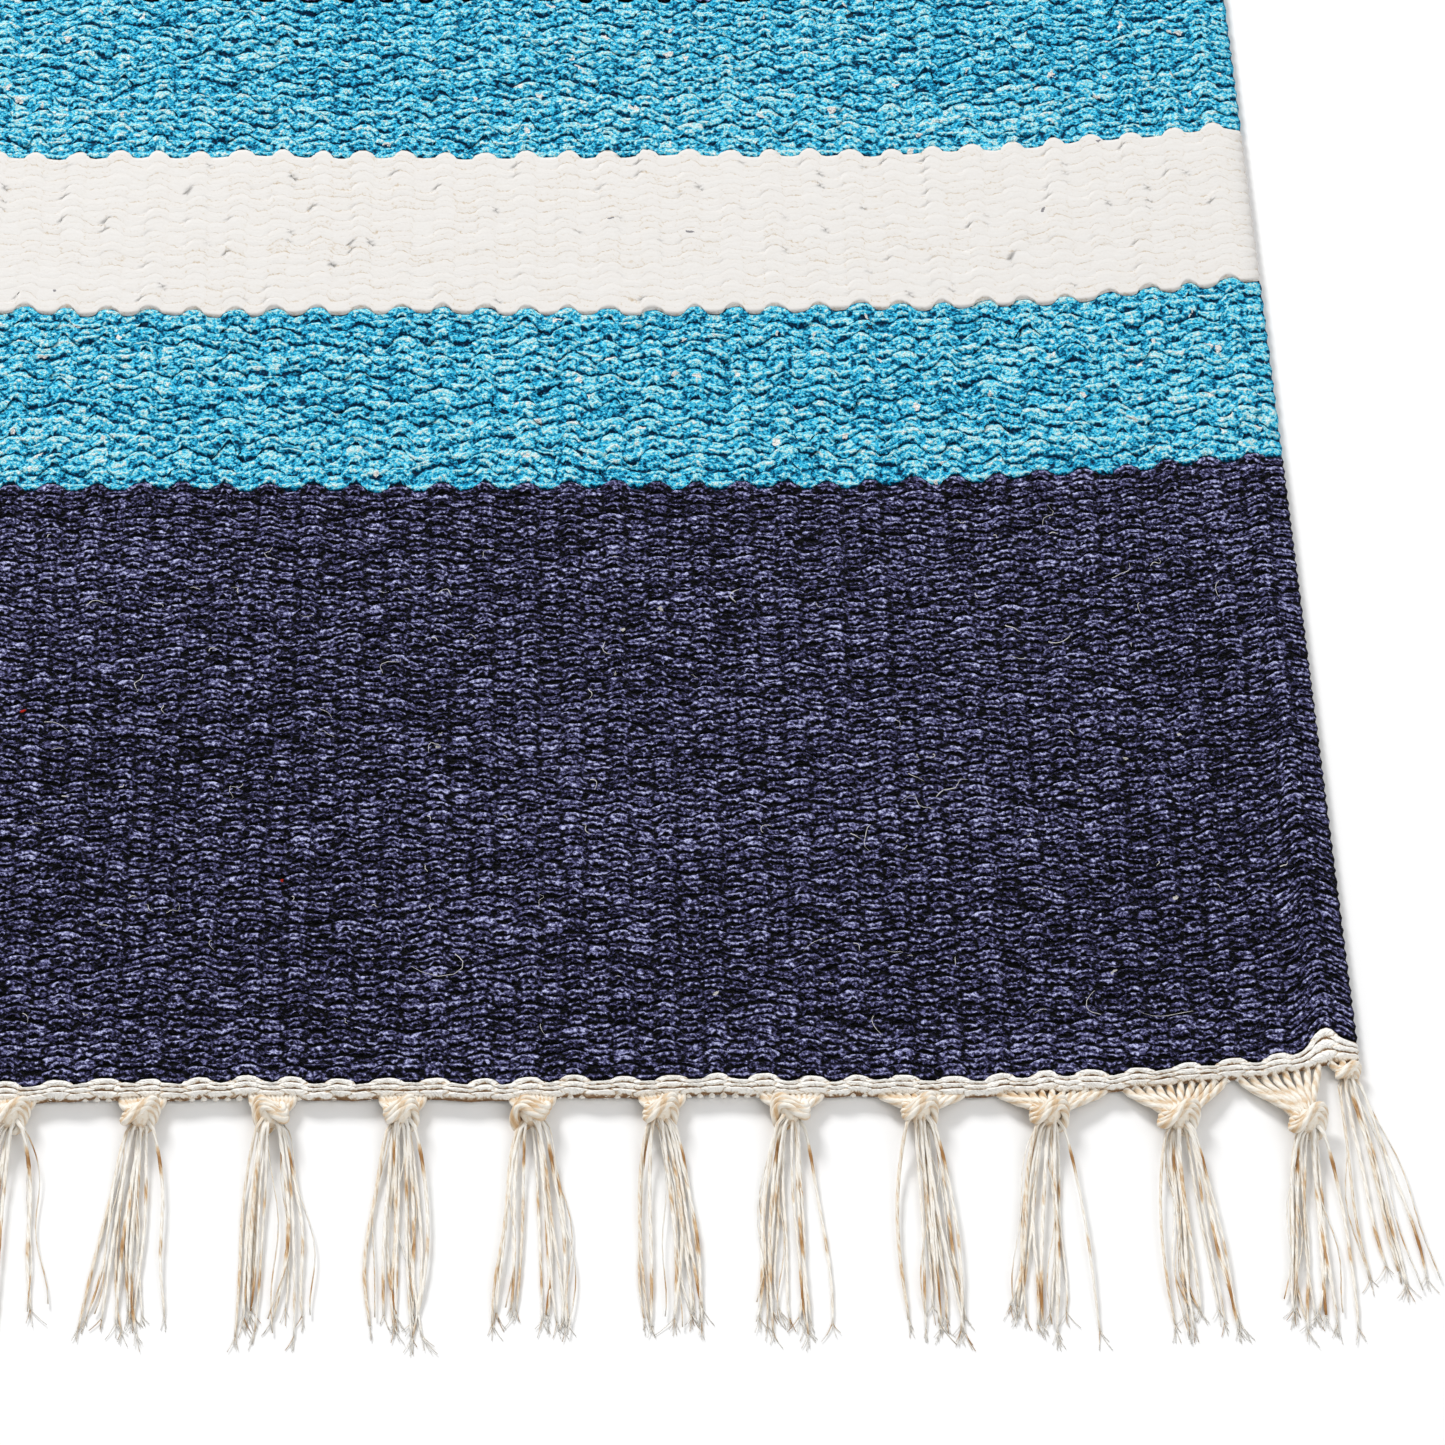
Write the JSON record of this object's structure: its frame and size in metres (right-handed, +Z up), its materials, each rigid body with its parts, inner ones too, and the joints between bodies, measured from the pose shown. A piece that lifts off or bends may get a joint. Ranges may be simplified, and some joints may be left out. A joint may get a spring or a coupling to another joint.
{
  "type": "runner rug",
  "caption": "Long flat-woven cotton floor runner with crosswise bands of coloured weft, plain headers and knotted thread tassels along both short ends.",
  "frame": {"origin": "middle of the rug, on the floor under its underside", "axes": "+Y along the rug's length, +X across its width, +Z up from the floor"},
  "size_m": [0.6144, 1.9866, 0.008],
  "materials": {
    "navy_weft": "weft-faced plain weave of thick soft cotton yarn, matt navy",
    "blue_weft": "weft-faced plain weave of thick soft cotton yarn, bright sky blue",
    "white_weft": "weft-faced plain weave of thick soft cotton yarn, off-white",
    "natural_header": "plied undyed cotton cord, cream",
    "warp_cotton": "plied undyed cotton cord, cream",
    "tassel_cotton": "untwisted ends of undyed cotton cord, cream, frayed"
  },
  "bodies": {
    "middle_panel": {"navy_2": "navy_weft", "blue_outer_2": "blue_weft", "white_2": "white_weft", "blue_inner_2": "blue_weft", "navy_3": "navy_weft", "blue_inner_3": "blue_weft", "white_3": "white_weft", "blue_outer_3": "blue_weft", "navy_4": "navy_weft", "middle_warps": "warp_cotton"},
    "front_panel": {"navy_1": "navy_weft", "blue_outer_1": "blue_weft", "white_1": "white_weft", "blue_inner_1": "blue_weft", "front_header": "natural_header", "front_warps": "warp_cotton"},
    "back_panel": {"blue_inner_4": "blue_weft", "white_4": "white_weft", "blue_outer_4": "blue_weft", "navy_5": "navy_weft", "back_header": "natural_header", "back_warps": "warp_cotton"},
    "front_tassel_01_body": {"front_tassel_01": "tassel_cotton"},
    "front_tassel_02_body": {"front_tassel_02": "tassel_cotton"},
    "front_tassel_03_body": {"front_tassel_03": "tassel_cotton"},
    "front_tassel_04_body": {"front_tassel_04": "tassel_cotton"},
    "front_tassel_05_body": {"front_tassel_05": "tassel_cotton"},
    "front_tassel_06_body": {"front_tassel_06": "tassel_cotton"},
    "front_tassel_07_body": {"front_tassel_07": "tassel_cotton"},
    "front_tassel_08_body": {"front_tassel_08": "tassel_cotton"},
    "front_tassel_09_body": {"front_tassel_09": "tassel_cotton"},
    "front_tassel_10_body": {"front_tassel_10": "tassel_cotton"},
    "front_tassel_11_body": {"front_tassel_11": "tassel_cotton"},
    "front_tassel_12_body": {"front_tassel_12": "tassel_cotton"},
    "front_tassel_13_body": {"front_tassel_13": "tassel_cotton"},
    "front_tassel_14_body": {"front_tassel_14": "tassel_cotton"},
    "front_tassel_15_body": {"front_tassel_15": "tassel_cotton"},
    "front_tassel_16_body": {"front_tassel_16": "tassel_cotton"},
    "front_tassel_17_body": {"front_tassel_17": "tassel_cotton"},
    "front_tassel_18_body": {"front_tassel_18": "tassel_cotton"},
    "front_tassel_corner_body": {"front_tassel_corner": "tassel_cotton"},
    "back_tassel_01_body": {"back_tassel_01": "tassel_cotton"},
    "back_tassel_02_body": {"back_tassel_02": "tassel_cotton"},
    "back_tassel_03_body": {"back_tassel_03": "tassel_cotton"},
    "back_tassel_04_body": {"back_tassel_04": "tassel_cotton"},
    "back_tassel_05_body": {"back_tassel_05": "tassel_cotton"},
    "back_tassel_06_body": {"back_tassel_06": "tassel_cotton"},
    "back_tassel_07_body": {"back_tassel_07": "tassel_cotton"},
    "back_tassel_08_body": {"back_tassel_08": "tassel_cotton"},
    "back_tassel_09_body": {"back_tassel_09": "tassel_cotton"},
    "back_tassel_10_body": {"back_tassel_10": "tassel_cotton"},
    "back_tassel_11_body": {"back_tassel_11": "tassel_cotton"},
    "back_tassel_12_body": {"back_tassel_12": "tassel_cotton"},
    "back_tassel_13_body": {"back_tassel_13": "tassel_cotton"},
    "back_tassel_14_body": {"back_tassel_14": "tassel_cotton"},
    "back_tassel_15_body": {"back_tassel_15": "tassel_cotton"},
    "back_tassel_16_body": {"back_tassel_16": "tassel_cotton"},
    "back_tassel_17_body": {"back_tassel_17": "tassel_cotton"},
    "back_tassel_18_body": {"back_tassel_18": "tassel_cotton"},
    "back_tassel_corner_body": {"back_tassel_corner": "tassel_cotton"}
  },
  "joints": [
    {"name": "front_fold", "type": "hinge", "parent": "middle_panel", "child": "front_panel", "pos_m": [0, -0.50775, 0.009], "axis": [-1, 0, 0], "range_deg": [0, 180]},
    {"name": "back_fold", "type": "hinge", "parent": "middle_panel", "child": "back_panel", "pos_m": [0, 0.50775, 0.009], "axis": [1, 0, 0], "range_deg": [0, 180]},
    {"name": "front_tassel_01_flip", "type": "hinge", "parent": "front_panel", "child": "front_tassel_01_body", "pos_m": [0.2849, -0.91312, 0.0064], "axis": [-1, 0, 0], "range_deg": [0, 180]},
    {"name": "front_tassel_02_flip", "type": "hinge", "parent": "front_panel", "child": "front_tassel_02_body", "pos_m": [0.252, -0.91779, 0.0064], "axis": [-1, 0, 0], "range_deg": [0, 180]},
    {"name": "front_tassel_03_flip", "type": "hinge", "parent": "front_panel", "child": "front_tassel_03_body", "pos_m": [0.2191, -0.9184, 0.0064], "axis": [-1, 0, 0], "range_deg": [0, 180]},
    {"name": "front_tassel_04_flip", "type": "hinge", "parent": "front_panel", "child": "front_tassel_04_body", "pos_m": [0.1862, -0.9184, 0.0064], "axis": [-1, 0, 0], "range_deg": [0, 180]},
    {"name": "front_tassel_05_flip", "type": "hinge", "parent": "front_panel", "child": "front_tassel_05_body", "pos_m": [0.1533, -0.9184, 0.0064], "axis": [-1, 0, 0], "range_deg": [0, 180]},
    {"name": "front_tassel_06_flip", "type": "hinge", "parent": "front_panel", "child": "front_tassel_06_body", "pos_m": [0.1204, -0.9184, 0.0064], "axis": [-1, 0, 0], "range_deg": [0, 180]},
    {"name": "front_tassel_07_flip", "type": "hinge", "parent": "front_panel", "child": "front_tassel_07_body", "pos_m": [0.0875, -0.9184, 0.0064], "axis": [-1, 0, 0], "range_deg": [0, 180]},
    {"name": "front_tassel_08_flip", "type": "hinge", "parent": "front_panel", "child": "front_tassel_08_body", "pos_m": [0.0546, -0.9184, 0.0064], "axis": [-1, 0, 0], "range_deg": [0, 180]},
    {"name": "front_tassel_09_flip", "type": "hinge", "parent": "front_panel", "child": "front_tassel_09_body", "pos_m": [0.0217, -0.9184, 0.0064], "axis": [-1, 0, 0], "range_deg": [0, 180]},
    {"name": "front_tassel_10_flip", "type": "hinge", "parent": "front_panel", "child": "front_tassel_10_body", "pos_m": [-0.0112, -0.9184, 0.0064], "axis": [-1, 0, 0], "range_deg": [0, 180]},
    {"name": "front_tassel_11_flip", "type": "hinge", "parent": "front_panel", "child": "front_tassel_11_body", "pos_m": [-0.0441, -0.9184, 0.0064], "axis": [-1, 0, 0], "range_deg": [0, 180]},
    {"name": "front_tassel_12_flip", "type": "hinge", "parent": "front_panel", "child": "front_tassel_12_body", "pos_m": [-0.077, -0.9184, 0.0064], "axis": [-1, 0, 0], "range_deg": [0, 180]},
    {"name": "front_tassel_13_flip", "type": "hinge", "parent": "front_panel", "child": "front_tassel_13_body", "pos_m": [-0.1099, -0.9184, 0.0064], "axis": [-1, 0, 0], "range_deg": [0, 180]},
    {"name": "front_tassel_14_flip", "type": "hinge", "parent": "front_panel", "child": "front_tassel_14_body", "pos_m": [-0.1428, -0.9184, 0.0064], "axis": [-1, 0, 0], "range_deg": [0, 180]},
    {"name": "front_tassel_15_flip", "type": "hinge", "parent": "front_panel", "child": "front_tassel_15_body", "pos_m": [-0.1757, -0.9184, 0.0064], "axis": [-1, 0, 0], "range_deg": [0, 180]},
    {"name": "front_tassel_16_flip", "type": "hinge", "parent": "front_panel", "child": "front_tassel_16_body", "pos_m": [-0.2086, -0.9184, 0.0064], "axis": [-1, 0, 0], "range_deg": [0, 180]},
    {"name": "front_tassel_17_flip", "type": "hinge", "parent": "front_panel", "child": "front_tassel_17_body", "pos_m": [-0.2415, -0.91831, 0.0064], "axis": [-1, 0, 0], "range_deg": [0, 180]},
    {"name": "front_tassel_18_flip", "type": "hinge", "parent": "front_panel", "child": "front_tassel_18_body", "pos_m": [-0.2744, -0.91512, 0.0064], "axis": [-1, 0, 0], "range_deg": [0, 180]},
    {"name": "front_tassel_corner_flip", "type": "hinge", "parent": "front_panel", "child": "front_tassel_corner_body", "pos_m": [0.2954, -0.90996, 0.0044], "axis": [-1, 0, 0], "range_deg": [0, 180]},
    {"name": "back_tassel_01_flip", "type": "hinge", "parent": "back_panel", "child": "back_tassel_01_body", "pos_m": [-0.2849, 0.92604, 0.0064], "axis": [1, 0, 0], "range_deg": [0, 180]},
    {"name": "back_tassel_02_flip", "type": "hinge", "parent": "back_panel", "child": "back_tassel_02_body", "pos_m": [-0.252, 0.91993, 0.0064], "axis": [1, 0, 0], "range_deg": [0, 180]},
    {"name": "back_tassel_03_flip", "type": "hinge", "parent": "back_panel", "child": "back_tassel_03_body", "pos_m": [-0.2191, 0.9184, 0.0064], "axis": [1, 0, 0], "range_deg": [0, 180]},
    {"name": "back_tassel_04_flip", "type": "hinge", "parent": "back_panel", "child": "back_tassel_04_body", "pos_m": [-0.1862, 0.9184, 0.0064], "axis": [1, 0, 0], "range_deg": [0, 180]},
    {"name": "back_tassel_05_flip", "type": "hinge", "parent": "back_panel", "child": "back_tassel_05_body", "pos_m": [-0.1533, 0.9184, 0.0064], "axis": [1, 0, 0], "range_deg": [0, 180]},
    {"name": "back_tassel_06_flip", "type": "hinge", "parent": "back_panel", "child": "back_tassel_06_body", "pos_m": [-0.1204, 0.9184, 0.0064], "axis": [1, 0, 0], "range_deg": [0, 180]},
    {"name": "back_tassel_07_flip", "type": "hinge", "parent": "back_panel", "child": "back_tassel_07_body", "pos_m": [-0.0875, 0.9184, 0.0064], "axis": [1, 0, 0], "range_deg": [0, 180]},
    {"name": "back_tassel_08_flip", "type": "hinge", "parent": "back_panel", "child": "back_tassel_08_body", "pos_m": [-0.0546, 0.9184, 0.0064], "axis": [1, 0, 0], "range_deg": [0, 180]},
    {"name": "back_tassel_09_flip", "type": "hinge", "parent": "back_panel", "child": "back_tassel_09_body", "pos_m": [-0.0217, 0.9184, 0.0064], "axis": [1, 0, 0], "range_deg": [0, 180]},
    {"name": "back_tassel_10_flip", "type": "hinge", "parent": "back_panel", "child": "back_tassel_10_body", "pos_m": [0.0112, 0.9184, 0.0064], "axis": [1, 0, 0], "range_deg": [0, 180]},
    {"name": "back_tassel_11_flip", "type": "hinge", "parent": "back_panel", "child": "back_tassel_11_body", "pos_m": [0.0441, 0.9184, 0.0064], "axis": [1, 0, 0], "range_deg": [0, 180]},
    {"name": "back_tassel_12_flip", "type": "hinge", "parent": "back_panel", "child": "back_tassel_12_body", "pos_m": [0.077, 0.9184, 0.0064], "axis": [1, 0, 0], "range_deg": [0, 180]},
    {"name": "back_tassel_13_flip", "type": "hinge", "parent": "back_panel", "child": "back_tassel_13_body", "pos_m": [0.1099, 0.9184, 0.0064], "axis": [1, 0, 0], "range_deg": [0, 180]},
    {"name": "back_tassel_14_flip", "type": "hinge", "parent": "back_panel", "child": "back_tassel_14_body", "pos_m": [0.1428, 0.9184, 0.0064], "axis": [1, 0, 0], "range_deg": [0, 180]},
    {"name": "back_tassel_15_flip", "type": "hinge", "parent": "back_panel", "child": "back_tassel_15_body", "pos_m": [0.1757, 0.9184, 0.0064], "axis": [1, 0, 0], "range_deg": [0, 180]},
    {"name": "back_tassel_16_flip", "type": "hinge", "parent": "back_panel", "child": "back_tassel_16_body", "pos_m": [0.2086, 0.9184, 0.0064], "axis": [1, 0, 0], "range_deg": [0, 180]},
    {"name": "back_tassel_17_flip", "type": "hinge", "parent": "back_panel", "child": "back_tassel_17_body", "pos_m": [0.2415, 0.91897, 0.0064], "axis": [1, 0, 0], "range_deg": [0, 180]},
    {"name": "back_tassel_18_flip", "type": "hinge", "parent": "back_panel", "child": "back_tassel_18_body", "pos_m": [0.2744, 0.92357, 0.0064], "axis": [1, 0, 0], "range_deg": [0, 180]},
    {"name": "back_tassel_corner_flip", "type": "hinge", "parent": "back_panel", "child": "back_tassel_corner_body", "pos_m": [-0.2954, 0.92827, 0.0044], "axis": [1, 0, 0], "range_deg": [0, 180]}
  ]
}
